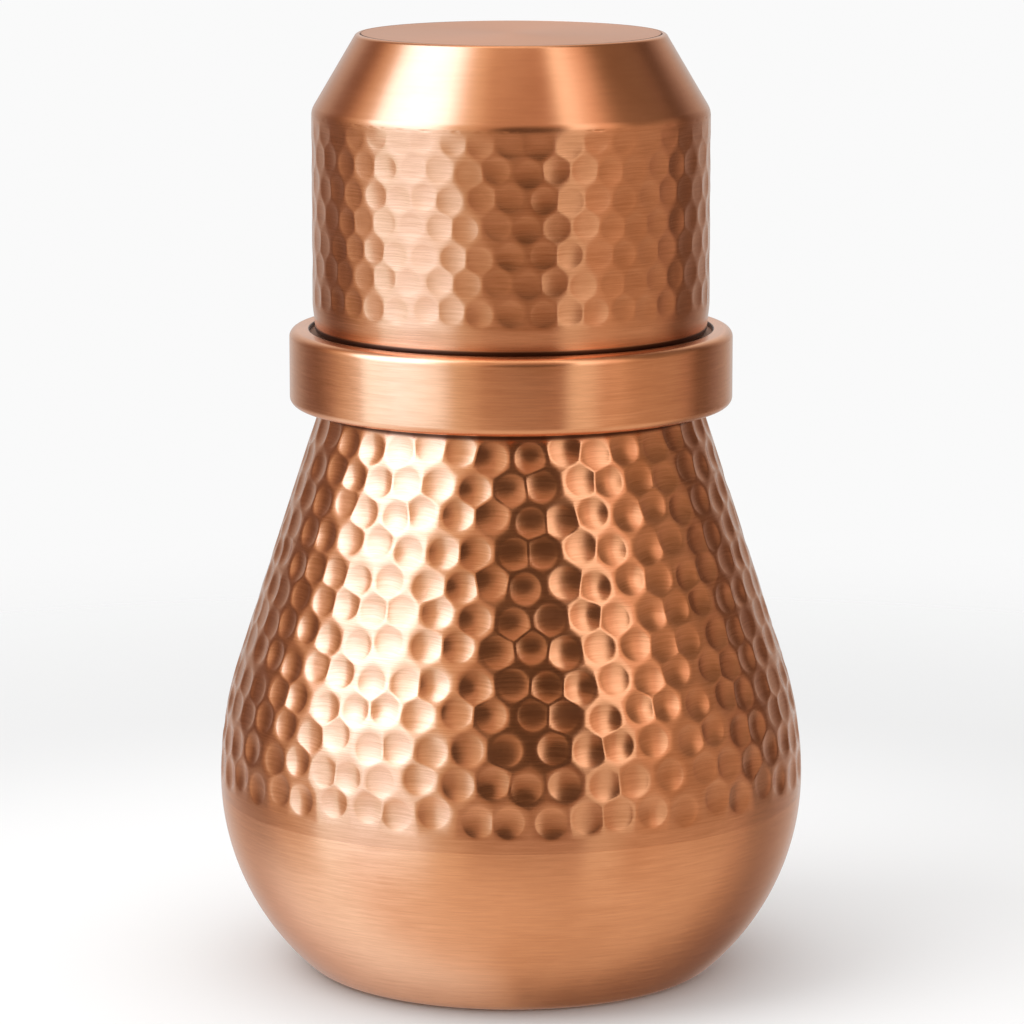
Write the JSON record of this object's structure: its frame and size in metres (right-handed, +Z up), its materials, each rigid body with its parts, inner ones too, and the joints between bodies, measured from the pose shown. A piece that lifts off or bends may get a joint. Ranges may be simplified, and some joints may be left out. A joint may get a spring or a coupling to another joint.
{
  "type": "water bottle",
  "caption": "Pear-shaped hammered copper bedside water bottle with a broad plain collar and an upturned drinking tumbler over its neck as the lid.",
  "frame": {"origin": "centre of the bottle's base, on the table it stands on", "axes": "+Z up along the axis that every piece is turned about; X and Y are alike because the object is round"},
  "size_m": [0.1246, 0.1246, 0.2],
  "materials": {
    "hammered_copper": "hammered and brushed round the axis, satin",
    "brushed_copper": "brushed round the axis, satin",
    "matte_copper": "fine satin, almost matte",
    "copper_wire": "drawn wire",
    "braze_alloy": "braze as it set, dull"
  },
  "bodies": {
    "bottle": {"lower_bowl": "brushed_copper", "shoulder_shell": "hammered_copper", "girth_seam_braze": "braze_alloy", "neck_tube": "brushed_copper", "neck_lip_wire": "copper_wire", "neck_seam_braze": "braze_alloy", "collar_ring": "brushed_copper", "seat_tray": "brushed_copper"},
    "tumbler": {"tumbler_shell": "hammered_copper", "tumbler_rim_wire": "copper_wire", "tumbler_base_disc": "matte_copper", "tumbler_base_braze": "braze_alloy"}
  },
  "joints": [
    {"name": "tumbler_lift", "type": "slide", "parent": "bottle", "child": "tumbler", "axis": [0, 0, 1], "range_m": [0, 0.07]}
  ]
}
